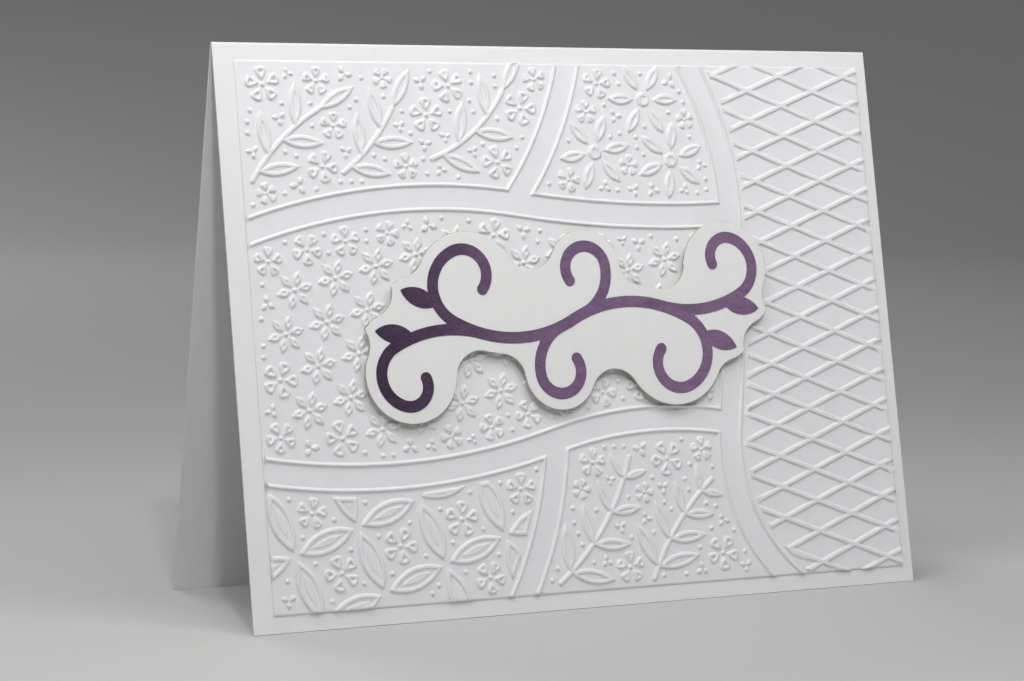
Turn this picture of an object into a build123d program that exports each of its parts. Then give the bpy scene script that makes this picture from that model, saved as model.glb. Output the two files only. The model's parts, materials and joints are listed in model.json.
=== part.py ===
from build123d import *

import os
from math import atan2, ceil, cos, degrees, radians, sin, tan

# Card blank: one sheet, folded once along its top edge, standing on the cut edges of its two leaves
card_width = 139.7
leaf_height = 107.95
card_stock = 0.35
leaf_lean = 12.4  # degrees from upright
fold_radius = 0.3  # of the sheet's middle line

# Embossed panel, glued to the front leaf
panel_border = 3.175  # of the leaf, left bare all round
panel_stock = 0.3
panel_shift = 0.8  # towards +X from the leaf's centre line
relief_height = 0.45

# Fields of the relief: smooth channels wind between them, with a rim along both banks
channel_width = 4.0
rim_width = 0.7
field_gap = 0.8  # between a rim and the motifs that it frames
knot_inset = 1.2  # a seam stops this far short of the middle of the seam that it meets

# Seams' places, as shares of the panel's half width and half height, and the rise of each first arc
upper_knot_share = (0.51, 0.413)
lower_knot_share = (0.45, -0.394)
top_knot_share = (-0.18, 0.463)
bottom_knot_share = (-0.12, -0.433)
lattice_seam_shares = (0.375, 0.69)  # at the panel's top and bottom edges
lattice_seam_rise = 2.5
cross_seam_shares = (0.335, -0.472)  # of the upper and the lower one, at the panel's left edge
cross_seam_rise = 4.0
short_seam_shares = (0.03, -0.3)  # at the panel's top and bottom edges
short_seam_rise = 2.0

# Diamond lattice of the right field
diamond_width = 15.2
diamond_height = 6.1
lattice_ridge = 1.0
lattice_inset = 11.0  # from the panel's edge to a column of crossings

# Interlaced petals of the lower left field
petal_pitch = 13.2
petal_size = (11.4, 4.2)
petal_tilt = 20.0

# Sprigs, daisies and fronds, each with its foot or centre given from the middle of its field
stem_width = 0.9
sprig_leaf = (8.4, 2.5)
sprig_leaves = 5
sprig_splay = 48.0
sprig_first = 0.5  # of the spacing, from the foot to the first leaf
sprig_runs = [((-27, -11), 58, (40, -28)), ((-9, -9.5), 36, (36, 26)), ((9, -7), 20, (30, 40))]
daisy_petal = (5.6, 2.2)
daisy_petals = 6
daisy_eye = 1.5
daisy_eye_sides = 8
daisy_gap = 0.6  # between the eye and a petal
daisy_places = [((-8.5, -3), 10), ((3, 7.5), 0), ((8, -4.6), 22)]
frond_leaf = (10.0, 2.9)
frond_pairs = 4
frond_splay = 52.0
frond_first = 0.4  # of the spacing, from the foot to the first pair
frond_taper = 0.55  # share of a leaflet's size that is lost along the stem
frond_runs = [((-20, -11), 36, (46, 36)), ((0, -11.5), 66, (48, -28))]
smallest_patch = 6.0  # what a field's edge cuts smaller than this area is left off

# Foil ornament: a scroll of even stroke, its bends given as shares of the arm's radius and turns
foil_film = 0.1
foil_stroke = 2.2
foil_leaf = (8.0, 3.6)
arm_radius = 25.0
arm_bearing = 29.0
arm_bends = [(1.0, -60), (0.295, -128), (0.19, -150)]
end_curl_share = 0.36  # of the arm's length, where the curl leaves it
end_curl_bends = [(0.92, 46), (0.24, 134), (0.15, 130)]
crown_curl_share = 0.05
crown_curl_bends = [(0.345, 76), (0.17, 205)]
curl_leaf = (0.34, -28)  # share of the curl's length and splay
arm_leaf = (0.55, 40)

# Label, cut to the ornament's outline and raised on foam pads
label_stock = 0.35
label_margin = 2.1
label_notch = 5.0  # radius left in the hollows of the outline
label_shift = (-3.0, 0.8)  # from the panel's centre
pad_height = 1.3
pad_radius = 2.7
pad_sides = 6
pad_share = 0.3  # of the length of an arm of the ornament

lean = radians(leaf_lean)
fold_drop = fold_radius * (1 / sin(lean) - 1)
foot_height = card_stock / 2 * sin(lean)
apex_height = foot_height + leaf_height * cos(lean) + fold_drop
foot_reach = (apex_height - foot_height) * tan(lean)
outward = Vector(0, -cos(lean), sin(lean))
upward = Vector(0, sin(lean), cos(lean))

leaf_centre = Vector(0, -foot_reach, foot_height) + upward * (leaf_height / 2) + outward * (card_stock / 2)
front_face = Plane(leaf_centre, x_dir=(1, 0, 0), z_dir=outward)
panel_back = front_face.move(Location((panel_shift, 0, 0)))
panel_face = panel_back.offset(panel_stock)
pad_base = Plane(panel_face.from_local_coords(label_shift), x_dir=(1, 0, 0), z_dir=outward)
label_back = pad_base.offset(pad_height)
label_face = label_back.offset(label_stock)

panel_width = card_width - 2 * panel_border
panel_height = leaf_height - 2 * panel_border
half_width = panel_width / 2
half_height = panel_height / 2
run_off = channel_width + rim_width


def on_panel(across, up):
    """A point of the panel, from shares of its half width and half height."""
    return Vector(across * half_width, up * half_height)


upper_knot = on_panel(*upper_knot_share)
lower_knot = on_panel(*lower_knot_share)
top_knot = on_panel(*top_knot_share)
bottom_knot = on_panel(*bottom_knot_share)


def heading(angle):
    """The unit direction at an angle in degrees, anticlockwise from +X."""
    return (cos(radians(angle)), sin(radians(angle)))


def scroll(start, angle, bends):
    """A smooth line of tangent arcs, each given as its radius and its turn, anticlockwise positive."""
    with BuildLine(mode=Mode.PRIVATE) as path:
        for radius, turn in bends:
            arc = JernArc(start, heading(angle), radius, turn)
            start = arc @ 1
            angle += turn
    return Wire(path.edges())


def curl(start, angle, bends):
    """A scroll whose radii are shares of the ornament's arm radius."""
    return scroll(start, angle, [(arm_radius * share, turn) for share, turn in bends])


def wave(start, knots, sagitta):
    """A smooth line through the knots: a first arc of the given rise, then arcs tangent to it."""
    with BuildLine(mode=Mode.PRIVATE) as path:
        arc = SagittaArc(start, knots[0], sagitta)
        for knot in knots[1:]:
            arc = TangentArc(arc @ 1, knot, tangent=arc % 1)
    return Wire(path.edges())


def bearing(path, share):
    """The angle in degrees at which a path runs, at a share of its length."""
    along = path % share
    return degrees(atan2(along.Y, along.X))


def spot(path, share, splay):
    """The place at a share of a path's length, turned by splay from the path's own direction."""
    point = path @ share
    return Location((point.X, point.Y, 0), (0, 0, bearing(path, share) + splay))


def blade(length, width, start=0.0):
    """A pointed leaf or petal between two arcs, lying along +X from start."""
    with BuildSketch(mode=Mode.PRIVATE) as outline:
        with BuildLine():
            SagittaArc((start, 0), (start + length, 0), width / 2)
            SagittaArc((start, 0), (start + length, 0), -width / 2)
        make_face()
    return outline.sketch


def sprig(path):
    """A stem with alternate leaves and one at its tip."""
    SlotArc(path, stem_width)
    leaf = blade(*sprig_leaf)
    sides = [sprig_splay * (-1) ** number for number in range(1, sprig_leaves)]
    places = [spot(path, (number + sprig_first) / sprig_leaves, side) for number, side in enumerate(sides)]
    with Locations(*places, spot(path, 1, 0)):
        add(leaf)


def frond(path):
    """A stem with pairs of narrow leaflets that grow smaller towards the tip."""
    length, width = frond_leaf
    SlotArc(path, stem_width)
    for number in range(frond_pairs):
        share = (number + frond_first) / frond_pairs
        size = 1 - frond_taper * share
        with Locations(spot(path, share, frond_splay), spot(path, share, -frond_splay)):
            add(blade(length * size, width * size))


def daisy(centre, turn):
    """A ring of petals about a many-sided eye."""
    petal = blade(*daisy_petal, start=daisy_eye + daisy_gap)
    with Locations(Location((centre.X, centre.Y, 0), (0, 0, turn))):
        with PolarLocations(0, daisy_petals):
            add(petal)
        RegularPolygon(daisy_eye, daisy_eye_sides)


# Seams between the fields, drawn in the panel's own plane
inset_across = Vector(knot_inset, 0)
inset_upright = Vector(0, knot_inset)
above = half_height + run_off
left = -half_width - run_off
lattice_top, lattice_bottom = lattice_seam_shares
cross_upper, cross_lower = cross_seam_shares
short_top, short_bottom = short_seam_shares
seams = [
    wave(
        (lattice_top * half_width, above),
        [upper_knot, lower_knot, (lattice_bottom * half_width, -above)],
        lattice_seam_rise,
    ),
    wave((left, cross_upper * half_height), [top_knot, upper_knot - inset_across], cross_seam_rise),
    wave((left, cross_lower * half_height), [bottom_knot, lower_knot - inset_across], -cross_seam_rise),
    wave(top_knot + inset_upright, [(short_top * half_width, above)], -short_seam_rise),
    wave(bottom_knot - inset_upright, [(short_bottom * half_width, -above)], short_seam_rise),
]

with BuildSketch() as rims:
    for seam in seams:
        SlotArc(seam, channel_width + 2 * rim_width)
    for seam in seams:
        SlotArc(seam, channel_width, mode=Mode.SUBTRACT)
    Rectangle(panel_width, panel_height, mode=Mode.INTERSECT)

with BuildSketch() as fields:
    Rectangle(panel_width, panel_height)
    for seam in seams:
        SlotArc(seam, channel_width + 2 * (rim_width + field_gap), mode=Mode.SUBTRACT)


def field_at(x, y):
    """The field of the panel whose middle is nearest to a point."""
    return fields.faces().sort_by_distance((x, y, 0))[0]


lattice_field = field_at(half_width, 0)
petal_field = field_at(-half_width, -half_height)
sprig_field = field_at(-half_width, half_height)
daisy_field = field_at((top_knot.X + upper_knot.X) / 2, half_height)
frond_field = field_at((bottom_knot.X + lower_knot.X) / 2, -half_height)

with BuildSketch() as lattice:
    bar_slope = degrees(atan2(diamond_height, diamond_width))
    bar_rows = 2 * ceil(panel_height / diamond_height)
    with Locations((half_width - lattice_inset, 0)):
        with GridLocations(0, diamond_height, 1, bar_rows):
            Rectangle(panel_width, lattice_ridge, rotation=bar_slope)
            Rectangle(panel_width, lattice_ridge, rotation=-bar_slope)
    add(lattice_field, mode=Mode.INTERSECT)

with BuildSketch() as petals:
    middle = petal_field.center()
    petal = blade(*petal_size, start=(petal_pitch - petal_size[0]) / 2)
    petal_rows = 2 * ceil(half_width / petal_pitch / 2)
    with Locations(Location((middle.X, middle.Y, 0), (0, 0, petal_tilt))):
        with PolarLocations(0, 2, angular_range=180):
            with GridLocations(petal_pitch, petal_pitch, petal_rows, petal_rows):
                add(petal)
    add(petal_field, mode=Mode.INTERSECT)

with BuildSketch() as sprigs:
    for foot, angle, bend in sprig_runs:
        sprig(scroll(sprig_field.center() + Vector(*foot), angle, [bend]))
    add(sprig_field, mode=Mode.INTERSECT)

with BuildSketch() as daisies:
    for centre, turn in daisy_places:
        daisy(daisy_field.center() + Vector(*centre), turn)
    add(daisy_field, mode=Mode.INTERSECT)

with BuildSketch() as fronds:
    for foot, angle, bend in frond_runs:
        frond(scroll(frond_field.center() + Vector(*foot), angle, [bend]))
    add(frond_field, mode=Mode.INTERSECT)

with BuildPart() as embossed_panel:
    with BuildSketch(panel_back):
        Rectangle(panel_width, panel_height)
    extrude(amount=panel_stock)
    for motif in (rims, lattice, petals, sprigs, daisies, fronds):
        with BuildSketch(panel_face):
            add(motif.faces().filter_by(lambda patch: patch.area > smallest_patch))
        extrude(amount=relief_height)

with BuildPart() as card_blank:
    with BuildSketch(Plane.YZ):
        with BuildLine():
            FilletPolyline(
                (-foot_reach, foot_height),
                (0, apex_height),
                (foot_reach, foot_height),
                radius=fold_radius,
            )
        trace(line_width=card_stock)
    extrude(amount=card_width / 2, both=True)

# One arm of the ornament, drawn from its centre; the other arm is the same, turned half round
arm = curl((0, 0), arm_bearing, arm_bends)
end_curl = curl(arm @ end_curl_share, bearing(arm, end_curl_share), end_curl_bends)
crown_curl = curl(arm @ crown_curl_share, bearing(arm, crown_curl_share), crown_curl_bends)
strokes = [arm, end_curl, crown_curl]
leaf_spots = [spot(end_curl, *curl_leaf), spot(arm, *arm_leaf)]


def leaves(spread):
    """The leaves of both arms, each grown outwards by spread."""
    length, width = foil_leaf
    with PolarLocations(0, 2):
        with Locations(*leaf_spots):
            add(blade(length + 2 * spread, width + 2 * spread, start=-spread))


with BuildSketch() as scrollwork:
    with PolarLocations(0, 2):
        for stroke in strokes:
            SlotArc(stroke, foil_stroke)
    leaves(0)

# The label's outline keeps a margin round the ornament and closes each curl to a round lobe
with BuildSketch() as backing:
    label_spread = label_margin + label_notch
    label_reach = foil_stroke / 2 + label_spread
    with PolarLocations(0, 2):
        for stroke in strokes:
            for arc in stroke.edges():
                if arc.radius > label_reach:
                    SlotArc(arc, 2 * label_reach)
                else:
                    with Locations(arc.arc_center):
                        Circle(arc.radius + label_reach)
    leaves(label_spread)

with BuildSketch() as label_outline:
    add(Face(backing.face().outer_wire()))
    offset(amount=-label_notch, kind=Kind.ARC)

with BuildPart() as foam_pads:
    with BuildSketch(pad_base):
        volute = arm.edges()[1].arc_center
        with PolarLocations(0, 2):
            with Locations(arm @ 0, arm @ pad_share, volute):
                RegularPolygon(pad_radius, pad_sides)
    extrude(amount=pad_height)

with BuildPart() as label:
    with BuildSketch(label_back):
        add(label_outline.sketch)
    extrude(amount=label_stock)

with BuildPart() as foil_ornament:
    with BuildSketch(label_face):
        add(scrollwork.sketch)
    extrude(amount=foil_film)

os.makedirs("parts", exist_ok=True)
pieces = {
    "card_blank": card_blank,
    "embossed_panel": embossed_panel,
    "foam_pads": foam_pads,
    "label": label,
    "foil_ornament": foil_ornament,
}
for name, piece in pieces.items():
    piece.part.label = name
    export_step(piece.part, f"parts/{name}.step")
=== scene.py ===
"""Looks of a tent card with an embossed panel and a raised, foiled label."""

from __future__ import annotations

import json
import logging
import math
import random
from collections import defaultdict
from collections.abc import Iterable, Sequence
from dataclasses import dataclass, field
from enum import Enum

import bmesh
import bpy
import numpy as np
from mathutils import Matrix, Vector
from mathutils.bvhtree import BVHTree
from mathutils.geometry import delaunay_2d_cdt
from mathutils.kdtree import KDTree

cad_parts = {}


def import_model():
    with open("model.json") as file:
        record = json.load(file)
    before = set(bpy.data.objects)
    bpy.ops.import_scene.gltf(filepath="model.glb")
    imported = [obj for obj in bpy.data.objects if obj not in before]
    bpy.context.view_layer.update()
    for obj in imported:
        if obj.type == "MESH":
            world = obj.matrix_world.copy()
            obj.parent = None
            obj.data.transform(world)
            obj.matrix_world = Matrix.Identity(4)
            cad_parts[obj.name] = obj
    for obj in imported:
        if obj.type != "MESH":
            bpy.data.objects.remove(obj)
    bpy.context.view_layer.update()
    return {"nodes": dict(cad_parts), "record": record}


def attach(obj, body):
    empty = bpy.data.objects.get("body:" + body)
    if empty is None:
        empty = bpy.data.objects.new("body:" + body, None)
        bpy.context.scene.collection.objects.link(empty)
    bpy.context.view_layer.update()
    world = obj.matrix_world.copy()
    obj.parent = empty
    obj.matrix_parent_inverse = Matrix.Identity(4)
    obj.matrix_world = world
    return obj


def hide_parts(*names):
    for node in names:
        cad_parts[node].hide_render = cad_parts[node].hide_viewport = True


LOG = logging.getLogger("tent_card")
MM = 0.001
WELD = 0.001 * MM
FLAT_ANGLE = math.radians(0.5)
TINY = 1e-6
# The least component of a unit vector that counts as lying along an axis.
FACING = 0.7
# The triangulation's output that holds only what the tied border encloses.
INSIDE_TIES = 1
# The middle of a noise that runs from 0 to 1.
NOISE_MIDDLE = 0.5
# The rise from row to row of a grid of equal triangles.
ROW_RISE = math.sqrt(0.75)

Colour = tuple[float, float, float]
Place = tuple[float, float, float]
Cell = tuple[int, int]


class Side(Enum):
    """Material slots of a sheet piece, by the part of the sheet that shows them."""

    FACE = 0
    CUT = 1


class Value:
    """A shader socket that takes part in Python arithmetic."""

    def __init__(self, shader: Shader, socket: bpy.types.NodeSocket) -> None:
        """Keep the socket with the shader that it belongs to."""
        self.shader = shader
        self.socket = socket

    def _combine(self, operation: str, first: Value | float, second: Value | float) -> Value:
        """Add one Math node to the shader.

        Args:
            operation: The Math node's operation.
            first: The left-hand value.
            second: The right-hand value.

        Returns:
            The node's result.
        """
        return self.shader.node(
            "ShaderNodeMath", settings={"operation": operation}, sockets={0: first, 1: second}
        )

    def __add__(self, other: Value | float) -> Value:
        """Sum with a value or a number."""
        return self._combine("ADD", self, other)

    __radd__ = __add__

    def __sub__(self, other: Value | float) -> Value:
        """Difference from a value or a number."""
        return self._combine("SUBTRACT", self, other)

    def __rsub__(self, other: float) -> Value:
        """Difference of a number from this value."""
        return self._combine("SUBTRACT", other, self)

    def __mul__(self, other: Value | float) -> Value:
        """Product with a value or a number."""
        return self._combine("MULTIPLY", self, other)

    __rmul__ = __mul__

    def mixed(self, other: Value, share: float = 0.5) -> Value:
        """Blend with another value.

        Args:
            other: The other value.
            share: Share of the other value, half where none is given.

        Returns:
            The blend.
        """
        return self * (1.0 - share) + other * share

    def ramp(self, low: float, high: float) -> Value:
        """Map a range to 0..1, smoothly and without overshoot.

        Args:
            low: The value that gives 0.
            high: The value that gives 1.

        Returns:
            The mapped value.
        """
        return self.shader.node(
            "ShaderNodeMapRange",
            settings={"interpolation_type": "SMOOTHSTEP", "clamp": True},
            sockets={"Value": self, "From Min": low, "From Max": high},
        )


class Shader:
    """A node material under construction."""

    def __init__(self, name: str) -> None:
        """Start an empty node material.

        Args:
            name: The material's name.
        """
        self.material = bpy.data.materials.new(name)
        self.material.use_nodes = True
        self.tree = self.material.node_tree
        self.tree.nodes.clear()

    def node(
        self,
        kind: str,
        settings: dict[str, object] | None = None,
        sockets: dict[str | int, object] | None = None,
        output: str | int = 0,
    ) -> Value:
        """Add any node: its settings first, then the values or links of its sockets.

        Args:
            kind: The node's type.
            settings: Properties of the node by name.
            sockets: Numbers, colours, vectors or values by socket name or place.
            output: The output that is wanted.

        Returns:
            The wanted output, or the first input of a node that has none.
        """
        made = self.tree.nodes.new(kind)
        for name, setting in (settings or {}).items():
            setattr(made, name, setting)
        for name, given in (sockets or {}).items():
            if isinstance(given, Value):
                self.tree.links.new(given.socket, made.inputs[name])
            else:
                made.inputs[name].default_value = given
        return Value(self, made.outputs[output] if made.outputs else made.inputs[0])

    def place(self, stretch: Place = (1.0, 1.0, 1.0)) -> Value:
        """Object coordinates, scaled along the axes.

        Args:
            stretch: Scale along each axis.

        Returns:
            The coordinates.
        """
        where = self.node("ShaderNodeTexCoord", output="Object")
        return self.node("ShaderNodeMapping", sockets={"Vector": where, "Scale": stretch})

    def noise(self, where: Value, grain: float, detail: float = 3.0, twist: float = 0.0) -> Value:
        """Fractal noise from 0 to 1.

        Args:
            where: The coordinates.
            grain: Size of a grain in metres.
            detail: Number of finer layers.
            twist: Distortion.

        Returns:
            The noise.
        """
        return self.node(
            "ShaderNodeTexNoise",
            sockets={"Vector": where, "Scale": 1.0 / grain, "Detail": detail, "Distortion": twist},
        )

    def blend(self, share: Value, first: Colour, second: Colour) -> Value:
        """Mix two colours.

        Args:
            share: Share of the second colour.
            first: Colour at 0.
            second: Colour at 1.

        Returns:
            The mixed colour.
        """
        return self.node(
            "ShaderNodeMix",
            settings={"data_type": "RGBA"},
            sockets={0: share, 6: (*first, 1.0), 7: (*second, 1.0)},
            output=2,
        )

    def bump(self, height: Value, depth: float) -> Value:
        """Turn a height from 0 to 1 into a shading normal.

        Args:
            height: The height.
            depth: Height in metres that 1 stands for.

        Returns:
            The normal.
        """
        return self.node("ShaderNodeBump", sockets={"Height": height, "Distance": depth})

    def finish(self, **sockets: object) -> bpy.types.Material:
        """Close the material with one Principled shader.

        Args:
            **sockets: The shader's inputs, with underscores for spaces.

        Returns:
            The material.
        """
        inputs = {name.replace("_", " "): given for name, given in sockets.items()}
        surface = self.node("ShaderNodeBsdfPrincipled", sockets=inputs)
        self.node("ShaderNodeOutputMaterial", sockets={"Surface": surface})
        return self.material


@dataclass(frozen=True)
class PaperFinish:
    """Card stock: matt, faintly mottled, with fibres that run both ways."""

    name: str
    colour: Colour
    thin: Colour
    roughness: float = 0.5
    roughness_swing: float = 0.24
    sheen: float = 0.42
    fibre: float = 0.22 * MM
    fibre_detail: float = 4.0
    fibre_stretch: float = 0.35
    fibre_twist: float = 0.6
    fibres_per_cloud: int = 14
    cloud_detail: float = 2.0
    cloud_share: float = 0.45
    mottle_range: tuple[float, float] = (0.36, 0.64)
    tooth: float = 0.006 * MM

    def material(self) -> bpy.types.Material:
        """Build the stock's material.

        Returns:
            The material.
        """
        shader = Shader(self.name)
        slow, detail, twist = self.fibre_stretch, self.fibre_detail, self.fibre_twist
        across = shader.noise(shader.place((slow, 1.0, 1.0)), self.fibre, detail, twist)
        along = shader.noise(shader.place((1.0, slow, slow)), self.fibre, detail, twist)
        cloud = shader.noise(shader.place(), self.fibres_per_cloud * self.fibre, self.cloud_detail)
        felt = across.mixed(along)
        mottle = felt.mixed(cloud, self.cloud_share).ramp(*self.mottle_range)
        return shader.finish(
            Base_Color=shader.blend(mottle, self.thin, self.colour),
            Roughness=self.roughness + (felt - NOISE_MIDDLE) * self.roughness_swing,
            Normal=shader.bump(felt, self.tooth),
            Specular_IOR_Level=self.sheen,
        )


@dataclass(frozen=True)
class CutEdgeFinish:
    """The raw core of the stock where a blade has cut it: rougher and a little darker; the label's edge is
    darkened further with painted shade.
    """

    name: str
    colour: Colour
    shade: Colour
    roughness: float = 0.78
    roughness_swing: float = 0.2
    sheen: float = 0.25
    layer: float = 0.05 * MM
    layers_per_tear: int = 9
    tear_detail: float = 2.0
    tear_range: tuple[float, float] = (0.3, 0.7)
    tooth: float = 0.02 * MM

    def material(self) -> bpy.types.Material:
        """Build the cut edge's material.

        Returns:
            The material.
        """
        shader = Shader(self.name)
        fluff = shader.noise(shader.place(), self.layer)
        torn = shader.noise(shader.place(), self.layers_per_tear * self.layer, self.tear_detail)
        wear = fluff.mixed(torn).ramp(*self.tear_range)
        return shader.finish(
            Base_Color=shader.blend(wear, self.shade, self.colour),
            Roughness=self.roughness + (fluff - NOISE_MIDDLE) * self.roughness_swing,
            Normal=shader.bump(fluff, self.tooth),
            Specular_IOR_Level=self.sheen,
        )


@dataclass(frozen=True)
class FoilFinish:
    """Hot foil: a thin metallic film that shows the stock's tooth through it."""

    name: str
    deep: Colour
    bright: Colour
    metal: float = 0.97
    metal_loss: float = 0.1
    roughness: float = 0.15
    roughness_swing: float = 0.12
    grain: float = 0.24 * MM
    grains_per_streak: int = 6
    streak_stretch: float = 0.25
    streak_twist: float = 0.8
    streak_share: float = 0.35
    streak_relief: float = 0.3
    tint_range: tuple[float, float] = (0.34, 0.66)
    tooth: float = 0.003 * MM

    def material(self) -> bpy.types.Material:
        """Build the foil's material.

        Returns:
            The material.
        """
        shader = Shader(self.name)
        fleck = shader.noise(shader.place(), self.grain)
        rubbed = shader.place((self.streak_stretch, 1.0, 1.0))
        streak_size = self.grains_per_streak * self.grain
        streak = shader.noise(rubbed, streak_size, twist=self.streak_twist)
        tint = fleck.mixed(streak, self.streak_share).ramp(*self.tint_range)
        return shader.finish(
            Base_Color=shader.blend(tint, self.deep, self.bright),
            Metallic=self.metal - fleck * self.metal_loss,
            Roughness=self.roughness + (fleck - NOISE_MIDDLE) * self.roughness_swing,
            Normal=shader.bump(fleck.mixed(streak, self.streak_relief), self.tooth),
        )


@dataclass(frozen=True)
class FoamFinish:
    """White closed-cell foam."""

    name: str
    colour: Colour
    # Colour of the cell pits: painted shade in the foam's small hollows.
    pit_shade: Colour
    roughness: float = 0.7
    roughness_gain: float = 0.2
    sheen: float = 0.3
    cell: float = 0.18 * MM
    cell_range: tuple[float, float] = (0.1, 0.7)
    cell_depth: float = 0.03 * MM

    def material(self) -> bpy.types.Material:
        """Build the foam's material.

        Returns:
            The material.
        """
        shader = Shader(self.name)
        cells = shader.node(
            "ShaderNodeTexVoronoi", sockets={"Vector": shader.place(), "Scale": 1.0 / self.cell}
        )
        wall = cells.ramp(*self.cell_range)
        return shader.finish(
            # The pits take the darker colour: painted shade where the bump is low.
            Base_Color=shader.blend(wall, self.pit_shade, self.colour),
            Roughness=self.roughness + wall * self.roughness_gain,
            Normal=shader.bump(wall, self.cell_depth),
            Specular_IOR_Level=self.sheen,
        )


@dataclass(frozen=True)
class BackdropFinish:
    """The studio's plain paper sweep."""

    name: str
    colour: Colour
    darker: float = 0.97
    roughness: float = 0.85
    roughness_swing: float = 0.1
    sheen: float = 0.2
    speck: float = 1.5 * MM

    def material(self) -> bpy.types.Material:
        """Build the sweep's material.

        Returns:
            The material.
        """
        shader = Shader(self.name)
        specks = shader.noise(shader.place(), self.speck)
        shade = tuple(self.darker * share for share in self.colour)
        return shader.finish(
            Base_Color=shader.blend(specks, shade, self.colour),
            Roughness=self.roughness + (specks - NOISE_MIDDLE) * self.roughness_swing,
            Specular_IOR_Level=self.sheen,
        )


WHITE_STOCK = PaperFinish(
    "white_card_stock", colour=(0.815, 0.813, 0.815), thin=(0.797, 0.795, 0.797)
)
PANEL_STOCK = PaperFinish(
    "embossed_stock", colour=(0.81, 0.814, 0.828), thin=(0.785, 0.789, 0.803), roughness=0.46
)
LABEL_STOCK = PaperFinish(
    "label_stock", colour=(0.81, 0.813, 0.803), thin=(0.79, 0.793, 0.783), roughness=0.48
)
WHITE_CUT = CutEdgeFinish("white_cut_edge", colour=(0.74, 0.74, 0.74), shade=(0.60, 0.60, 0.60))
# The label's cut edge: a cream core, darkened and tinted olive as painted shade for the shadow in the gap
# under the label's edges.
LABEL_CUT_AND_PAINTED_SHADE = CutEdgeFinish("label_cut_edge_and_painted_shade", colour=(0.52, 0.50, 0.39), shade=(0.38, 0.36, 0.26))
PURPLE_FOIL = FoilFinish("purple_foil", deep=(0.17, 0.105, 0.19), bright=(0.3, 0.19, 0.33))
WHITE_FOAM = FoamFinish("white_foam", colour=(0.80, 0.80, 0.78), pit_shade=(0.52, 0.52, 0.50))
SWEEP = BackdropFinish("pale_sweep", colour=(0.55, 0.545, 0.54))


@dataclass(frozen=True)
class LeafFrame:
    """The front leaf's own axes: along its width, up the leaf and out of it, in millimetres."""

    axes: Matrix

    @classmethod
    def behind(cls, panel: bpy.types.Object, record: dict) -> LeafFrame:
        """Centre the frame on the panel's back, at the slope that the record gives the leaves.

        Args:
            panel: The panel's node.
            record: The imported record, whose mount lies on the other leaf.

        Returns:
            The frame.
        """
        mount = Vector(record["mounts"][0]["axis"])
        outward = Vector((0.0, -abs(mount.y), abs(mount.z))).normalized()
        across = Vector((1.0, 0.0, 0.0))
        turn = Matrix((across, outward.cross(across), outward)).transposed().to_4x4()
        axes = turn @ Matrix.Scale(MM, 4)
        places = [axes.inverted() @ vert.co for vert in panel.data.vertices]
        low = [min(place[axis] for place in places) for axis in range(3)]
        high = [max(place[axis] for place in places) for axis in range(3)]
        middle = Vector(((low[0] + high[0]) / 2, (low[1] + high[1]) / 2, low[2]))
        return cls(axes @ Matrix.Translation(middle))

    def flatten(self, mesh: bmesh.types.BMesh) -> None:
        """Carry a mesh from the row frame to the leaf's frame."""
        bmesh.ops.transform(mesh, matrix=self.axes.inverted(), verts=mesh.verts)

    def raise_up(self, mesh: bmesh.types.BMesh) -> None:
        """Carry a mesh from the leaf's frame to the row frame."""
        bmesh.ops.transform(mesh, matrix=self.axes, verts=mesh.verts)

    def turn_normal(self, normal: Vector) -> Vector:
        """Carry a direction from the leaf's frame to the row frame."""
        return (self.axes.to_3x3() @ normal).normalized()


def merged_copy(node: bpy.types.Object) -> bmesh.types.BMesh:
    """Copy a node's loose triangles into one joined mesh.

    Args:
        node: The node's object.

    Returns:
        The joined mesh.
    """
    copy = bmesh.new()
    copy.from_mesh(node.data)
    bmesh.ops.remove_doubles(copy, verts=copy.verts, dist=WELD)
    return copy


def join_flats(mesh: bmesh.types.BMesh) -> None:
    """Join the triangles of each flat face into one face."""
    bmesh.ops.dissolve_limit(mesh, angle_limit=FLAT_ANGLE, verts=mesh.verts, edges=mesh.edges)


def round_edges(
    mesh: bmesh.types.BMesh, edges: list[bmesh.types.BMEdge], reach: float, steps: int
) -> None:
    """Round some edges of a mesh.

    Args:
        mesh: The mesh.
        edges: The edges.
        reach: How far from an edge the rounding starts.
        steps: Number of faces across the rounding.
    """
    bmesh.ops.bevel(
        mesh, geom=edges, offset=reach, segments=steps, profile=0.5, affect="EDGES", material=-1
    )


def shade_smooth(mesh: bmesh.types.BMesh) -> None:
    """Shade every face of a mesh smooth."""
    for face in mesh.faces:
        face.smooth = True


def rim_of(mesh: bmesh.types.BMesh) -> list[bmesh.types.BMEdge]:
    """Edges of a mesh that have a face on one side only."""
    return [edge for edge in mesh.edges if edge.is_boundary]


def grow_rim(
    mesh: bmesh.types.BMesh, rim: list[bmesh.types.BMEdge]
) -> tuple[list[bmesh.types.BMVert], list[bmesh.types.BMEdge]]:
    """Extrude the rim of an open mesh without moving it.

    Args:
        mesh: The mesh.
        rim: The rim's edges.

    Returns:
        The new rim's vertices and edges.
    """
    grown = bmesh.ops.extrude_edge_only(mesh, edges=rim)["geom"]
    verts = [item for item in grown if isinstance(item, bmesh.types.BMVert)]
    edges = [item for item in grown if isinstance(item, bmesh.types.BMEdge) and item.is_boundary]
    return verts, edges


def place_piece(
    name: str, mesh: bmesh.types.BMesh, finishes: Sequence[bpy.types.Material]
) -> bpy.types.Object:
    """Make a scene object of a finished mesh.

    Args:
        name: The piece's name.
        mesh: The mesh, which is freed.
        finishes: Materials in slot order.

    Returns:
        The object, at the origin.
    """
    data = bpy.data.meshes.new(name)
    mesh.to_mesh(data)
    mesh.free()
    for finish in finishes:
        data.materials.append(finish)
    piece = bpy.data.objects.new(name, data)
    bpy.context.scene.collection.objects.link(piece)
    return piece


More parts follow.
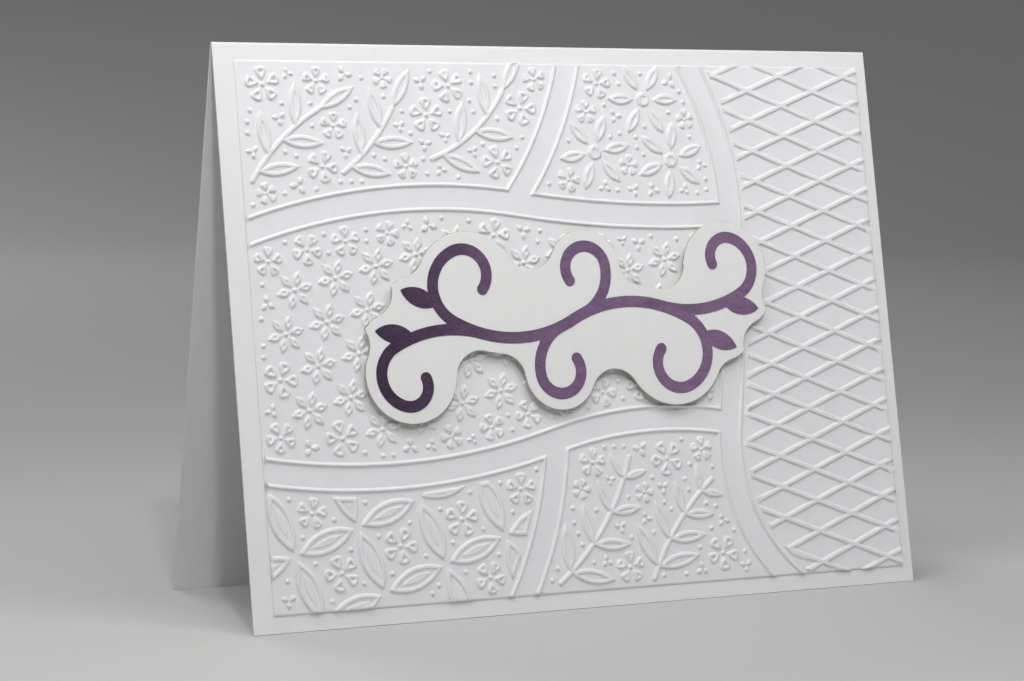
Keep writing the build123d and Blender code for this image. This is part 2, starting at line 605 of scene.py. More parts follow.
def keep_flats(data: bpy.types.Mesh) -> None:
    """Weigh each vertex normal by area, so that broad faces shade flat and their rims run into them.

    Args:
        data: A mesh with rounded rims, shaded smooth.
    """
    normals = [Vector() for _vertex in data.vertices]
    for face in data.polygons:
        for number in face.vertices:
            normals[number] += face.normal * face.area
    data.normals_split_custom_set_from_vertices([normal.normalized() for normal in normals])


def stand_for(piece: bpy.types.Object, node: str) -> None:
    """Attach a piece to the root body and hide the node that it stands for.

    Args:
        piece: The piece.
        node: The node's name.
    """
    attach(piece, "root")
    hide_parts(node)


@dataclass
class FoldedCard:
    """The card blank: one scored sheet with softened cut edges, in metres."""

    node: bpy.types.Object
    edge_round: float = 0.05 * MM
    edge_steps: int = 2
    crease: float = math.radians(50.0)
    foot_height: float = 0.5 * MM

    def build(self) -> bpy.types.Object:
        """Round the cut edges of the folded sheet and give face and cut their finishes.

        Returns:
            The dressed card.
        """
        sheet = merged_copy(self.node)
        join_flats(sheet)
        cuts = [edge for edge in sheet.edges if edge.calc_face_angle(0.0) > self.crease]
        for face in sheet.faces:
            face.material_index = self._side(face).value
        round_edges(sheet, cuts, self.edge_round, self.edge_steps)
        shade_smooth(sheet)
        card = place_piece("folded_card", sheet, [WHITE_STOCK.material(), WHITE_CUT.material()])
        keep_flats(card.data)
        stand_for(card, "card_blank")
        return card

    def _side(self, face: bmesh.types.BMFace) -> Side:
        """Tell the sheet's faces from its cut edges.

        Args:
            face: A face of the sheet.

        Returns:
            The cut for the ends across X and the narrow feet, and the face for all else.
        """
        is_end = abs(face.normal.x) > FACING
        is_foot = face.calc_center_median().z < self.foot_height
        return Side.CUT if is_end or is_foot else Side.FACE


@dataclass
class DieCut:
    """A flat die-cut sheet, the label or its foil, with the edge that the die leaves, in millimetres."""

    node: bpy.types.Object
    leaf: LeafFrame
    name: str
    slot: str
    face: PaperFinish | FoilFinish
    cut: CutEdgeFinish | FoilFinish
    edge_round: float
    edge_steps: int = 3

    def build(self) -> bpy.types.Object:
        """Round the front rim of the sheet and give face and cut their finishes.

        Returns:
            The dressed sheet.
        """
        sheet = merged_copy(self.node)
        self.leaf.flatten(sheet)
        join_flats(sheet)
        sheet.normal_update()
        for face in sheet.faces:
            is_flat = abs(face.normal.z) > FACING
            face.material_index = (Side.FACE if is_flat else Side.CUT).value
        rims = [edge for edge in sheet.edges if self._is_rim(edge)]
        round_edges(sheet, rims, self.edge_round, self.edge_steps)
        shade_smooth(sheet)
        self.leaf.raise_up(sheet)
        piece = place_piece(self.name, sheet, [self.face.material(), self.cut.material()])
        keep_flats(piece.data)
        stand_for(piece, self.node.name)
        return piece

    @staticmethod
    def _is_rim(edge: bmesh.types.BMEdge) -> bool:
        """True where the sheet's front meets its cut edge."""
        fronts = [face.normal.z > FACING for face in edge.link_faces]
        return any(fronts) and not all(fronts)


@dataclass
class FoamPads:
    """Adhesive foam pads, pressed between panel and label so that their sides waist in, in millimetres."""

    node: bpy.types.Object
    leaf: LeafFrame
    corner_round: float = 0.8
    corner_steps: int = 4
    waist: float = 0.22
    rows: int = 6
    crease: float = math.radians(50.0)

    def build(self) -> bpy.types.Object:
        """Round the pads' corners and pull their sides in.

        Returns:
            The dressed pads.
        """
        pads = merged_copy(self.node)
        self.leaf.flatten(pads)
        join_flats(pads)
        round_edges(pads, self._uprights(pads), self.corner_round, self.corner_steps)
        bmesh.ops.subdivide_edges(
            pads, edges=self._uprights(pads), cuts=self.rows, use_grid_fill=True
        )
        pads.normal_update()
        self._draw_in(pads)
        shade_smooth(pads)
        self.leaf.raise_up(pads)
        piece = place_piece("pressed_pads", pads, [WHITE_FOAM.material()])
        piece.data.set_sharp_from_angle(angle=self.crease)
        stand_for(piece, self.node.name)
        return piece

    def _draw_in(self, pads: bmesh.types.BMesh) -> None:
        """Move each side vertex inwards, most at half height.

        Args:
            pads: The pads in the leaf's frame.
        """
        low = min(vert.co.z for vert in pads.verts)
        high = max(vert.co.z for vert in pads.verts)
        for vert in pads.verts:
            share = (vert.co.z - low) / (high - low)
            outward = Vector((vert.normal.x, vert.normal.y, 0.0))
            if outward.length > TINY:
                vert.co -= outward.normalized() * self.waist * math.sin(math.pi * share)

    @staticmethod
    def _uprights(pads: bmesh.types.BMesh) -> list[bmesh.types.BMEdge]:
        """Find the edges that run out of the leaf.

        Args:
            pads: The pads in the leaf's frame.

        Returns:
            The edges.
        """
        found: list[bmesh.types.BMEdge] = []
        for edge in pads.edges:
            along = edge.verts[1].co - edge.verts[0].co
            if abs(along.normalized().z) > FACING:
                found.append(edge)
        return found


def smooth_share(depth: float, low: float, high: float) -> tuple[float, float]:
    """A smooth step from 0 to 1 and its slope.

    Args:
        depth: Where the step is read.
        low: Where it starts.
        high: Where it ends.

    Returns:
        The step and its slope.
    """
    share = min(max((depth - low) / (high - low), 0.0), 1.0)
    return share * share * (3 - 2 * share), 6 * share * (1 - share) / (high - low)


@dataclass(frozen=True)
class PressProfile:
    """How pressed work rises, by the distance inside its outline, in millimetres."""

    foot: float = 0.22
    shoulder: float = 0.34
    dish_start: float = 0.58
    dish_end: float = 0.95
    dish: float = 0.7
    crown_start: float = 1.25
    crown_end: float = 1.7
    crown: float = 0.45
    bank_shares: tuple[float, ...] = (0.0, 0.25, 0.48, 0.72, 1.0)
    small_bank_shares: tuple[float, ...] = (0.0, 0.36, 0.7, 1.0)
    small_dish: float = 0.14

    def levels(self) -> list[float]:
        """List where guide lines follow an outline of the large work.

        Returns:
            The distances inside the outline.
        """
        dish = [self.dish_start, (self.dish_start + self.dish_end) / 2, self.dish_end]
        crown = [self.crown_start, (self.crown_start + self.crown_end) / 2, self.crown_end]
        return [*self._up_bank(self.bank_shares), *dish, *crown]

    def small_levels(self) -> list[float]:
        """Distances at which guide lines follow an outline of the small work."""
        dish = [self.dish_start + self.small_dish, self.dish_end]
        return [*self._up_bank(self.small_bank_shares), *dish]

    def _up_bank(self, shares: Sequence[float]) -> list[float]:
        """Distances at shares of the way from foot to shoulder."""
        return [(self.foot + self.shoulder) * share - self.foot for share in shares]

    def rise(self, depth: float) -> tuple[float, float]:
        """Share of the full height, and its slope, at a distance inside the outline.

        Args:
            depth: The distance, negative outside.

        Returns:
            The share and its slope per millimetre.
        """
        bank, bank_slope = smooth_share(depth, -self.foot, self.shoulder)
        dish, dish_slope = smooth_share(depth, self.dish_start, self.dish_end)
        crown, crown_slope = smooth_share(depth, self.crown_start, self.crown_end)
        height = bank - self.dish * dish + self.crown * crown
        return height, bank_slope - self.dish * dish_slope + self.crown * crown_slope


@dataclass
class Outline:
    """A line round raised work in the leaf's plane, with the raised side on its left."""

    points: list[Vector]
    closed: bool
    corner: float = math.radians(32.0)
    straight: float = FLAT_ANGLE
    straight_stretch: int = 4
    smooth_mitre: float = 0.5
    corner_mitre: float = 0.15

    def spans(self) -> list[tuple[Vector, Vector]]:
        """Successive pairs of points."""
        ends = self.points[1:] + self.points[:1] if self.closed else self.points[1:]
        return list(zip(self.points, ends))

    def _tangents(self) -> list[Vector | None]:
        """Find the direction of the smooth line through each point.

        Returns:
            The directions, with None at a corner or an end.
        """
        found: list[Vector | None] = []
        count = len(self.points)
        for place, here in enumerate(self.points):
            at_end = not self.closed and place in (0, count - 1)
            before = here - self.points[place - 1]
            after = self.points[(place + 1) % count] - here
            if at_end or before.angle(after, math.pi) > self.corner:
                found.append(None)
            else:
                found.append((before / before.length_squared + after / after.length_squared).normalized())
        return found

    def faired(self, step: float) -> Outline:
        """Draw a smooth line through the points and divide it evenly, keeping corners.

        Args:
            step: The longest span on a bend.

        Returns:
            The finer outline.
        """
        tangents = self._tangents()
        finer: list[Vector] = []
        for place, (start, end) in enumerate(self.spans()):
            chord = end - start
            leave = tangents[place] or chord.normalized()
            arrive = tangents[(place + 1) % len(tangents)] or chord.normalized()
            bend = leave.angle(chord, 0.0) + arrive.angle(chord, 0.0)
            span = step if bend > self.straight else self.straight_stretch * step
            pieces = max(1, math.ceil(chord.length / span))
            for number in range(pieces):
                finer.append(self._between(start, end, leave, arrive, number / pieces))
        if not self.closed:
            finer.append(self.points[-1])
        return Outline(finer, self.closed)

    @staticmethod
    def _between(start: Vector, end: Vector, leave: Vector, arrive: Vector, share: float) -> Vector:
        """A point of the cubic that joins two points along given directions.

        Args:
            start: The first point.
            end: The last point.
            leave: Direction at the first point.
            arrive: Direction at the last point.
            share: Share of the way.

        Returns:
            The point.
        """
        length = (end - start).length
        two, three = share * share, share**3
        return (
            start * (2 * three - 3 * two + 1)
            + leave * length * (three - 2 * two + share)
            + end * (3 * two - 2 * three)
            + arrive * length * (three - two)
        )

    def beside(self, depth: float) -> list[Vector]:
        """Points at a distance to the left of the line, fanned round the outside of corners.

        Args:
            depth: The distance, negative to the right.

        Returns:
            The points in order.
        """
        spans = [end - start for start, end in self.spans()]
        lefts = [Vector((-span.y, span.x)).normalized() for span in spans]
        beside: list[Vector] = []
        for place, point in enumerate(self.points):
            last = place - 1 if self.closed or place > 0 else 0
            before, after = lefts[last], lefts[min(place, len(lefts) - 1)]
            # The signed angle grows clockwise, and here a turn to the left is positive.
            turn = -before.angle_signed(after, 0.0)
            is_corner = abs(turn) >= self.corner
            if is_corner and turn * depth < 0:
                fan = max(2, math.ceil(abs(turn) / self.corner))
                for number in range(fan + 1):
                    spoke = before.copy()
                    spoke.rotate(Matrix.Rotation(turn * number / fan, 2))
                    beside.append(point + spoke * depth)
            else:
                least = self.corner_mitre if is_corner else self.smooth_mitre
                mitre = (before + after).normalized()
                beside.append(point + mitre * (depth / max(mitre.dot(after), least)))
        return beside


class Ground:
    """Distance from any point of the panel to the nearest outline, positive on raised work."""

    def __init__(
        self, outlines: Iterable[Outline], patches: Iterable[list[Vector]], step: float = 0.12
    ) -> None:
        """Sample the outlines and lay out the raised patches.

        Args:
            outlines: The outlines.
            patches: The raised faces, as rings of points in the leaf's plane.
            step: Longest span between samples.
        """
        places: list[Vector] = []
        rings: list[list[int]] = []
        for patch in patches:
            rings.append(list(range(len(places), len(places) + len(patch))))
            places += [point.to_3d() for point in patch]
        self.raised = BVHTree.FromPolygons(places, rings)
        self.samples: list[tuple[Vector, Vector]] = []
        for outline in outlines:
            for start, end in outline.spans():
                pieces = max(1, math.ceil((end - start).length / step))
                half = (end - start) / pieces / 2
                for number in range(pieces):
                    self.samples.append((start + half * (2 * number + 1), half))
        self.tree = KDTree(len(self.samples))
        for number, (middle, _half) in enumerate(self.samples):
            self.tree.insert(middle.to_3d(), number)
        self.tree.balance()

    def depth(self, point: Vector) -> tuple[float, Vector]:
        """Signed distance from a point to the nearest outline.

        Args:
            point: The point in the leaf's plane.

        Returns:
            The distance and the direction in which it grows.
        """
        _place, number, _distance = self.tree.find(point.to_3d())
        middle, half = self.samples[number]
        along = (point - middle).dot(half) / half.length_squared
        gap = point - (middle + half * min(max(along, -1.0), 1.0))
        above = Vector((point.x, point.y, 1.0))
        hit = self.raised.ray_cast(above, Vector((0.0, 0.0, -1.0)))[0]
        if gap.length < TINY:
            return 0.0, Vector((-half.y, half.x)).normalized()
        if hit is None:
            return -gap.length, -gap.normalized()
        return gap.length, gap.normalized()


def even_angles(count: int) -> tuple[float, ...]:
    """Angles of rays that part a full turn evenly."""
    return tuple(math.tau * number / count for number in range(count))


def bead(radius: float, points: int = 12) -> list[Vector]:
    """A ring of points, anticlockwise."""
    angles = even_angles(points)
    return [Vector((radius * math.cos(angle), radius * math.sin(angle))) for angle in angles]


@dataclass(frozen=True)
class FigurePlan:
    """An eye and the petals about it, with sizes as shares of the figure's reach."""

    eye: float = 0.0
    angles: tuple[float, ...] = ()
    length: float = 0.0
    width: float = 0.0
    start: float = 0.0
    is_round: bool = False
    fullness: float = 0.76
    swell: float = 0.8
    blunt: int = 4
    steps: int = 6

    def petal(self, reach: float, angle: float) -> list[Vector]:
        """The outline of a petal that points away from the figure's centre.

        Args:
            reach: The figure's reach.
            angle: The direction in which the petal points, in radians.

        Returns:
            The outline's points, anticlockwise.
        """
        length, width, start = self.length * reach, self.width * reach, self.start * reach
        lower: list[Vector] = []
        for number in range(self.steps + 1):
            share = number / self.steps
            if self.is_round:
                share = math.sin(math.pi / 2 * number / self.steps)
                half = self.fullness * width * share**self.swell * math.sqrt(1 - share**self.blunt)
            else:
                half = 0.5 * width * math.sin(math.pi * share)
            lower.append(Vector((start + length * share, -half)))
        upper = [Vector((point.x, -point.y)) for point in lower[-2:0:-1]]
        turn = Matrix.Rotation(angle, 2)
        return [turn @ point for point in lower + upper]


SPRAY_ANGLES = (0.0, math.radians(125.0), math.radians(-125.0))


class Figure(Enum):
    """Small pressed figures, each drawn about its own centre."""

    ROSETTE = FigurePlan(eye=0.11, angles=even_angles(6), length=0.78, width=0.44, start=0.22)
    BLOSSOM = FigurePlan(
        eye=0.12, angles=even_angles(5), length=0.76, width=0.66, start=0.24, is_round=True
    )
    SPRAY = FigurePlan(angles=SPRAY_ANGLES, length=0.85, width=0.6, start=0.12)
    BEAD = FigurePlan(eye=1.0)

    def shapes(self, reach: float) -> list[list[Vector]]:
        """Outlines of the figure.

        Args:
            reach: Greatest distance from the figure's centre.

        Returns:
            Closed outlines, anticlockwise.
        """
        plan = self.value
        eye = [bead(plan.eye * reach)] if plan.eye > 0 else []
        return [*eye, *(plan.petal(reach, angle) for angle in plan.angles)]


@dataclass
class SmallWork:
    """Small figures that fill the wide fields of bare ground and leave the narrow ones plain, in mm."""

    ground: Ground
    half: Vector
    pitch: float = 0.7
    gap: float = 0.75
    bank: float = 0.25
    narrow: float = 3.3
    diaper_pitch: float = 8.4
    diaper_reach: float = 3.6
    diaper_tilt: float = math.radians(14.0)
    diaper_height: float = 40.0
    blossom_reach: tuple[float, float] = (1.9, 3.4)
    spray_reach: float = 1.15
    bead_reach: float = 0.42
    seed: int = 11

    def __post_init__(self) -> None:
        """Lay a grid over the panel and keep its cells that lie in wide fields."""
        right, top = int(self.half.x / self.pitch), int(self.half.y / self.pitch)
        columns, rows = range(-right, right + 1), range(-top, top + 1)
        cells = [(column, row) for column in columns for row in rows]
        bare = {cell: -self.ground.depth(self._place(cell))[0] for cell in cells}
        self.wide = set[Cell]()
        for part in parts_of({cell for cell in cells if bare[cell] > self.bank}):
            if max(bare[cell] for cell in part) > self.narrow:
                self.wide |= part

    def shapes(self) -> list[list[Vector]]:
        """Place rosettes on a regular diaper, then fill what is left from large figures to small.

        Returns:
            Closed outlines, anticlockwise.
        """
        dice = random.Random(self.seed)
        drawn: list[list[Vector]] = []
        places = [self._place(cell) for cell in sorted(self.wide)]
        room = np.array([self._room(place) for place in places])
        spots = np.array([tuple(place) for place in places])
        for centre in self._diaper():
            if self._room(centre) > self.diaper_reach:
                drawn += self._placed(Figure.ROSETTE, self.diaper_reach, centre, self.diaper_tilt)
                self._take(spots, room, centre, self.diaper_reach)
        while room.max() > self.bead_reach:
            best = int(room.argmax())
            centre, free = places[best], float(room[best])
            figure, reach = self._choose(free)
            drawn += self._placed(figure, reach, centre, dice.uniform(0.0, math.tau))
            self._take(spots, room, centre, reach)
        return drawn

    def _place(self, cell: Cell) -> Vector:
        """The middle of a cell of the grid."""
        return Vector(cell) * self.pitch

    def _diaper(self) -> list[Vector]:
        """Lay a tilted triangular grid across the middle field.

        Returns:
            The grid's points.
        """
        turn = Matrix.Rotation(self.diaper_tilt, 2)
        count = int(2 * self.half.x / self.diaper_pitch)
        found: list[Vector] = []
        for column in range(-count, count + 1):
            for row in range(-count, count + 1):
                level = Vector((column + row / 2, row * ROW_RISE)) * self.diaper_pitch
                place = turn @ level
                if abs(place.y) < self.diaper_height / 2:
                    found.append(place)
        return found

    def _room(self, place: Vector) -> float:
        """Radius of the free ground about a place.

        Args:
            place: The place in the leaf's plane.

        Returns:
            The radius, negative where no figure may stand.
        """
        if (round(place.x / self.pitch), round(place.y / self.pitch)) not in self.wide:
            return -1.0
        to_border = min(self.half.x - abs(place.x), self.half.y - abs(place.y))
        depth, _direction = self.ground.depth(place)
        return min(to_border, -depth) - self.gap

    def _choose(self, free: float) -> tuple[Figure, float]:
        """Choose what to draw on free ground.

        Args:
            free: The ground's radius.

        Returns:
            The figure and its reach.
        """
        low, high = self.blossom_reach
        if free > low:
            return Figure.BLOSSOM, min(free, high)
        if free > self.spray_reach:
            return Figure.SPRAY, free
        return Figure.BEAD, self.bead_reach

    def _take(self, spots: np.ndarray, room: np.ndarray, centre: Vector, reach: float) -> None:
        """Take a placed figure's ground out of the room that is left.

        Args:
            spots: The places, one to a row.
            room: Free radius about each place, lowered here.
            centre: The figure's centre.
            reach: The figure's reach.
        """
        away = np.hypot(spots[:, 0] - centre.x, spots[:, 1] - centre.y)
        np.minimum(room, away - reach - self.gap, out=room)

    @staticmethod
    def _placed(figure: Figure, reach: float, centre: Vector, turn: float) -> list[list[Vector]]:
        """Turn a figure and move it to its place.

        Args:
            figure: The figure.
            reach: Its reach.
            centre: Its place.
            turn: Its turn in radians.

        Returns:
            Its outlines.
        """
        spin = Matrix.Rotation(turn, 2)
        return [[spin @ point + centre for point in shape] for shape in figure.shapes(reach)]


def parts_of(cells: set[Cell]) -> list[set[Cell]]:
    """Part a set of grid cells into groups of cells that touch side by side.

    Args:
        cells: The cells, used up here.

    Returns:
        The groups.
    """
    found: list[set[Cell]] = []
    while cells:
        group = {cells.pop()}
        front = list(group)
        while front:
            column, row = front.pop()
            sides = {(column + 1, row), (column - 1, row), (column, row + 1), (column, row - 1)}
            beside = sides & cells
            cells -= beside
            group |= beside
            front += beside
        found.append(group)
    return found


@dataclass
class EmbossedPanel:
    """The embossed sheet: its relief follows the solid's outlines, with rounded banks, in millimetres."""

    node: bpy.types.Object
    leaf: LeafFrame
    profile: PressProfile = field(default_factory=PressProfile)
    line_step: float = 0.7
    small_step: float = 0.7
    border_step: float = 0.55
    border_rings: tuple[tuple[float, int], ...] = ((0.0, 1), (0.3, 2), (0.65, 3), (1.0, 3))
    edge_roll: float = 0.4
    edge_drop: float = 0.13
    edge_margin: float = 0.06
    kept_share: float = 0.93
    top_slack: float = 0.01
    border_slack: float = 0.002
    point_slack: float = 1e-4
    back: float = field(init=False)
    plain: float = field(init=False)
    top: float = field(init=False)
    half: Vector = field(init=False)

    def build(self) -> bpy.types.Object:
        """Press the relief into a sheet and dress it.

        Returns:
            The dressed panel.
        """
        solid = merged_copy(self.node)
        self.leaf.flatten(solid)
        solid.normal_update()
        levels = sorted({round(vert.co.z, 3) for vert in solid.verts})
        self.back, self.plain, self.top = levels[0], levels[1], levels[-1]
        self.half = Vector((max(v.co.x for v in solid.verts), max(v.co.y for v in solid.verts)))
        outlines, patches = self._raised_work(solid)
        solid.free()
        small = SmallWork(Ground(outlines, patches), self.half).shapes()
        fine = [Outline(shape, True).faired(self.small_step) for shape in small]
        ground = Ground(outlines + fine, patches + small)
        points, ties = self._guides(outlines, fine, ground)
        sheet, normals = self._press(points, ties, ground)
        panel = place_piece("pressed_panel", sheet, [PANEL_STOCK.material(), WHITE_CUT.material()])
        self._set_normals(panel.data, normals)
        stand_for(panel, self.node.name)
        return panel

    def _raised_work(self, solid: bmesh.types.BMesh) -> tuple[list[Outline], list[list[Vector]]]:
        """Find the outlines and the faces of the solid's raised work.

        Args:
            solid: The solid in the leaf's frame.

        Returns:
            The faired outlines and the raised faces, laid flat.
        """
        floor = self.top - self.top_slack
        tops = [face for face in solid.faces if min(v.co.z for v in face.verts) > floor]
        raised = set(tops)
        following: defaultdict[int, list[int]] = defaultdict(list)
        solid.verts.index_update()
        for face in tops:
            for corner in face.loops:
                outside = [other for other in corner.edge.link_faces if other not in raised]
                if outside and not self._on_border(corner.edge):
                    following[corner.vert.index].append(corner.link_loop_next.vert.index)
        solid.verts.ensure_lookup_table()
        flat = [vert.co.xy for vert in solid.verts]
        outlines: list[Outline] = []
        for chain, closed in chains(following):
            outline = Outline([flat[number] for number in chain], closed)
            outlines.append(outline.faired(self.line_step))
        patches = [[vert.co.xy for vert in face.verts] for face in tops]
        return outlines, patches

    def _on_border(self, edge: bmesh.types.BMEdge) -> bool:
        """Tell edges of the raised work that run along the sheet's own edge.

        Args:
            edge: An edge of the raised work.

        Returns:
            True for an edge on the border.
        """
        first, second = (vert.co for vert in edge.verts)
        along_x = min(abs(first.x), abs(second.x)) > self.half.x - self.border_slack
        along_y = min(abs(first.y), abs(second.y)) > self.half.y - self.border_slack
        return along_x or along_y

    def _inside(self, point: Vector) -> bool:
        """True for a point a little inside the sheet's edge."""
        across, up = self.half.x - self.edge_margin, self.half.y - self.edge_margin
        return abs(point.x) < across and abs(point.y) < up

    def _border(self, inset: float, step: float) -> list[Vector]:
        """Evenly spaced points round the sheet, anticlockwise.

        Args:
            inset: Distance from the sheet's edge.
            step: The longest span.

        Returns:
            The points.
        """
        across, up = self.half.x - inset, self.half.y - inset
        signs = ((-1, -1), (1, -1), (1, 1), (-1, 1))
        corners = [Vector((across * side, up * end)) for side, end in signs]
        return Outline(corners, True).faired(step / Outline.straight_stretch).points

    def _guides(
        self, large: list[Outline], small: list[Outline], ground: Ground
    ) -> tuple[list[Vector], list[tuple[int, int]]]:
        """Draw the lines that the relief's mesh follows.

        Args:
            large: The outlines of the large work.
            small: The outlines of the small work.
            ground: Distances to them.

        Returns:
            Points, and pairs of points that an edge ties.
        """
        points: list[Vector] = []
        ties: list[tuple[int, int]] = []
        for share, step in self.border_rings:
            ring = self._border(self.edge_roll * share, self.border_step * step)
            first, count = len(points), len(ring)
            ties += [(first + number, first + (number + 1) % count) for number in range(count)]
            points += ring
        rounds = [(outline, level) for outline in large for level in self.profile.levels()]
        rounds += [(outline, level) for outline in small for level in self.profile.small_levels()]
        for outline, level in rounds:
            numbers: list[int | None] = []
            for point in outline.beside(level):
                if self._is_kept(point, level, ground):
                    numbers.append(len(points))
                    points.append(point)
                else:
                    numbers.append(None)
            if outline.closed:
                numbers.append(numbers[0])
            ties += [pair for pair in zip(numbers, numbers[1:]) if None not in pair]
        return points, ties

    def _is_kept(self, point: Vector, level: float, ground: Ground) -> bool:
        """Tell guide points that no other outline is nearer to than their own.

        Args:
            point: The guide point.
            level: Its distance inside its own outline.
            ground: Distances to the outlines.

        Returns:
            True for a point to keep.
        """
        if not self._inside(point):
            return False
        depth, _direction = ground.depth(point)
        return depth * level > 0 and abs(depth) > self.kept_share * abs(level)

    def _press(
        self, points: list[Vector], ties: list[tuple[int, int]], ground: Ground
    ) -> tuple[bmesh.types.BMesh, list[Vector]]:
        """Raise the relief from its guide lines and give the sheet its thickness.

        Args:
            points: Guide points.
            ties: Guide lines.
            ground: Distances to the outlines.

        Returns:
            The sheet, and the normals of its relief by vertex.
        """
        flat, _edges, triangles, *_origins = delaunay_2d_cdt(
            points, ties, [], INSIDE_TIES, self.point_slack
        )
        places: list[Vector] = []
        normals: list[Vector] = []
        for point in flat:
            height, lean = self._surface(point, ground)
            places.append(Vector((point.x, point.y, height)))
            normals.append(self.leaf.turn_normal(Vector((-lean.x, -lean.y, 1.0))))
        relief = bpy.data.meshes.new("relief")
        relief.from_pydata(places, [], triangles)
        sheet = bmesh.new()
        sheet.from_mesh(relief)
        bpy.data.meshes.remove(relief)
        self._close(sheet)
        self._mark_sides(sheet, len(flat))
        self.leaf.raise_up(sheet)
        return sheet, normals

    def _close(self, sheet: bmesh.types.BMesh) -> None:
        """Draw the relief's rim down to the sheet's back, and close the back.

        Args:
            sheet: The relief in the leaf's frame.
        """
        hem, foot = grow_rim(sheet, rim_of(sheet))
        for vert in hem:
            vert.co.z = self.back
        bmesh.ops.contextual_create(sheet, geom=foot)
        bmesh.ops.recalc_face_normals(sheet, faces=sheet.faces)

    @staticmethod
    def _mark_sides(sheet: bmesh.types.BMesh, relief_count: int) -> None:
        """Shade the relief smooth and give the skirt below its rim the cut's slot.

        Args:
            sheet: The closed sheet in the leaf's frame.
            relief_count: Number of the relief's vertices, which come first.
        """
        sheet.verts.index_update()
        for face in sheet.faces:
            on_relief = all(vert.index < relief_count for vert in face.verts)
            on_skirt = not on_relief and abs(face.normal.z) < FACING
            face.material_index = (Side.CUT if on_skirt else Side.FACE).value
            face.smooth = on_relief

    def _surface(self, point: Vector, ground: Ground) -> tuple[float, Vector]:
        """The pressed sheet's height at a point, with the edge that the knife has rolled down.

        Args:
            point: The point in the leaf's plane.
            ground: Distances to the outlines.

        Returns:
            The height and its slope along both axes.
        """
        depth, uphill = ground.depth(point)
        share, slope = self.profile.rise(depth)
        relief = self.top - self.plain
        to_side, to_end = self.half.x - abs(point.x), self.half.y - abs(point.y)
        outward = Vector((point.x, 0.0)) if to_side < to_end else Vector((0.0, point.y))
        short = max(0.0, 1 - min(to_side, to_end) / self.edge_roll)
        lean = uphill * (relief * slope)
        if short > 0:
            lean -= outward.normalized() * (2 * self.edge_drop * short / self.edge_roll)
        return self.plain + relief * share - self.edge_drop * short * short, lean

    @staticmethod
    def _set_normals(data: bpy.types.Mesh, normals: list[Vector]) -> None:
        """Give the relief the normals of its true slope, and the other faces their own.

        Args:
            data: The panel's mesh.
            normals: Normals of the relief's vertices.
        """
        split: list[Vector] = [Vector()] * len(data.loops)
        for face in data.polygons:
            for corner in face.loop_indices:
                vertex = data.loops[corner].vertex_index
                split[corner] = normals[vertex] if face.use_smooth else face.normal.copy()
        data.normals_split_custom_set(split)


def chains(following: defaultdict[int, list[int]]) -> list[tuple[list[int], bool]]:
    """Join directed pairs of numbers into chains, open ones first.

    Args:
        following: The numbers that follow each number, used up here.

    Returns:
        Each chain, and whether it closes on itself.
    """
    ends = {number for after in following.values() for number in after}
    heads = [number for number in following if number not in ends]
    found: list[tuple[list[int], bool]] = []
    for head in [*heads, *following]:
        while following[head]:
            chain = [head]
            while following[chain[-1]]:
                chain.append(following[chain[-1]].pop())
                if chain[-1] == head:
                    break
            closed = chain[-1] == head
            found.append((chain[:-1] if closed else chain, closed))
    return found


@dataclass(frozen=True)
class Softbox:
    """A soft rectangular lamp: its place and size in metres and its power in watts."""

    name: str
    place: Place
    size: tuple[float, float]
    power: float

    def hang(self, target: Vector) -> None:
        """Hang the lamp so that it faces a point.

        Args:
            target: The point.
        """
        lamp = bpy.data.lights.new(self.name, "AREA")
        lamp.shape = "RECTANGLE"
        lamp.size, lamp.size_y = self.size
        lamp.energy = self.power
        holder = bpy.data.objects.new(self.name, lamp)
        bpy.context.scene.collection.objects.link(holder)
        holder.location = self.place
        aim = target - Vector(self.place)
        holder.rotation_euler = aim.to_track_quat("-Z", "Y").to_euler()


SOFTBOXES = (
    Softbox("top_softbox", place=(-0.05, -0.11, 0.27), size=(0.5, 0.12), power=0.67),
    Softbox("front_softbox", place=(-0.235, -0.73, 0.69), size=(0.06, 0.06), power=2.1),
    Softbox("right_softbox", place=(0.468, -0.735, 0.32), size=(0.27, 0.32), power=0.17),
    Softbox("back_softbox", place=(-0.35, 1.1, 0.9), size=(0.8, 0.8), power=7.0),
)


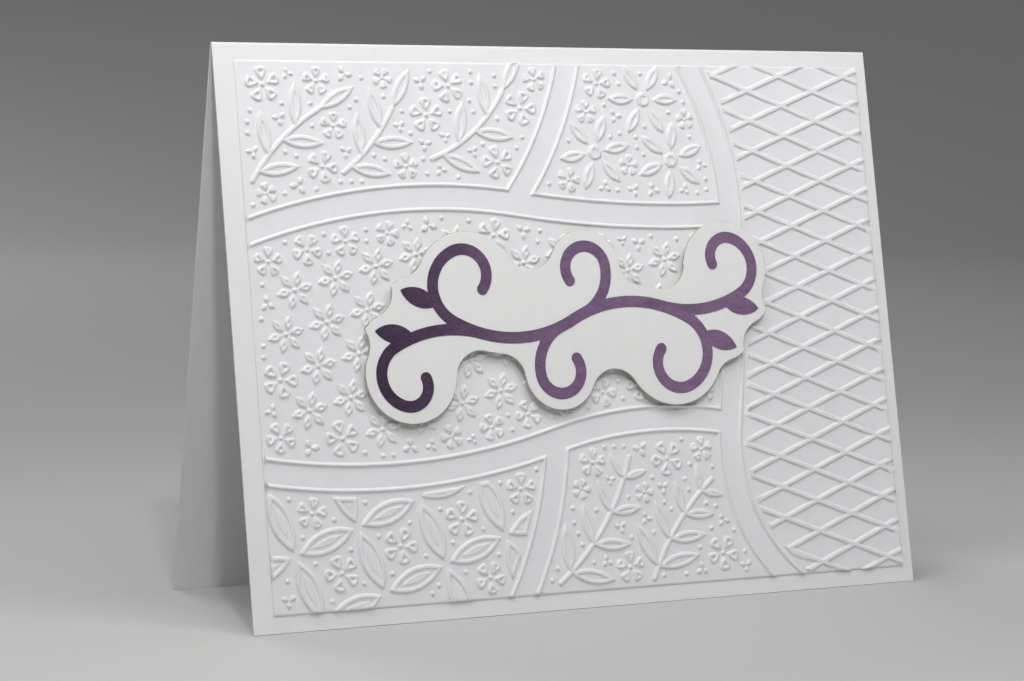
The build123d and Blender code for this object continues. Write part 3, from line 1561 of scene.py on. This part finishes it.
@dataclass
class Studio:
    """Floor sweep, soft lamps and the camera at the photograph's viewing angle, in metres and degrees."""

    floor_reach: float = 1.1
    floor_sides: int = 96
    sweep_round: float = 0.9
    sweep_turn: float = 65.0
    sweep_steps: int = 12
    sky: Colour = (0.97, 0.98, 1.0)
    sky_strength: float = 0.1
    azimuth: float = -25.04
    elevation: float = 5.59
    roll: float = 0.55
    target: Place = (-8.60 * MM, 0.0, 48.87 * MM)
    distance: float = 511.6 * MM
    lens_mm: float = 92.5
    sensor_mm: float = 36.0

    def build(self) -> None:
        """Set up the whole studio."""
        self._sweep()
        self._world()
        for softbox in SOFTBOXES:
            softbox.hang(Vector(self.target))
        self._camera()

    def _sweep(self) -> None:
        """A round floor that curves up all round."""
        sweep = bmesh.new()
        bmesh.ops.create_circle(
            sweep, cap_ends=True, segments=self.floor_sides, radius=self.floor_reach
        )
        rim = rim_of(sweep)
        for number in range(1, self.sweep_steps + 1):
            ring, rim = grow_rim(sweep, rim)
            angle = math.radians(self.sweep_turn) * number / self.sweep_steps
            reach = self.floor_reach + self.sweep_round * math.sin(angle)
            for vert in ring:
                flat = vert.co.xy.normalized() * reach
                vert.co = Vector((flat.x, flat.y, self.sweep_round * (1 - math.cos(angle))))
        bmesh.ops.recalc_face_normals(sweep, faces=sweep.faces)
        shade_smooth(sweep)
        floor = place_piece("floor_sweep", sweep, [SWEEP.material()])

    def _world(self) -> None:
        """A plain, dim sky."""
        world = bpy.data.worlds.new("studio_air")
        world.use_nodes = True
        air = world.node_tree.nodes["Background"]
        air.inputs["Color"].default_value = (*self.sky, 1.0)
        air.inputs["Strength"].default_value = self.sky_strength
        bpy.context.scene.world = world

    def _camera(self) -> None:
        """The camera, a little above the card's middle and to its left."""
        turn, rise, tilt = (math.radians(angle) for angle in (self.azimuth, self.elevation, self.roll))
        back = Vector(
            (math.sin(turn) * math.cos(rise), -math.cos(turn) * math.cos(rise), math.sin(rise))
        )
        level = Vector((math.cos(turn), math.sin(turn), 0.0))
        upright = back.cross(level)
        right = level * math.cos(tilt) + upright * math.sin(tilt)
        up = upright * math.cos(tilt) - level * math.sin(tilt)
        lens = bpy.data.cameras.new("photo_camera")
        lens.lens = self.lens_mm
        lens.sensor_width = self.sensor_mm
        camera = bpy.data.objects.new("photo_camera", lens)
        bpy.context.scene.collection.objects.link(camera)
        place = Matrix.Translation(Vector(self.target) + back * self.distance)
        camera.matrix_world = place @ Matrix((right, up, back)).transposed().to_4x4()
        bpy.context.scene.camera = camera


def main() -> None:
    """Load the frame, build the card's pieces and the studio, and log each piece's number of faces."""
    logging.basicConfig(level=logging.INFO, format="%(name)s: %(message)s")
    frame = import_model()
    bpy.context.scene.view_settings.view_transform = "Standard"
    nodes = frame["nodes"]
    leaf = LeafFrame.behind(nodes["embossed_panel"], frame["record"])
    label, foil = nodes["label"], nodes["foil_ornament"]
    makers = (
        FoldedCard(nodes["card_blank"]),
        EmbossedPanel(nodes["embossed_panel"], leaf),
        FoamPads(nodes["foam_pads"], leaf),
        DieCut(label, leaf, "cut_label", "label", LABEL_STOCK, LABEL_CUT_AND_PAINTED_SHADE, edge_round=0.24),
        DieCut(foil, leaf, "foil_scroll", "foil", PURPLE_FOIL, PURPLE_FOIL, edge_round=0.04),
    )
    for maker in makers:
        piece = maker.build()
        LOG.info("built %s with %d faces", piece.name, len(piece.data.polygons))
    Studio().build()


if __name__ == "__main__":
    main()
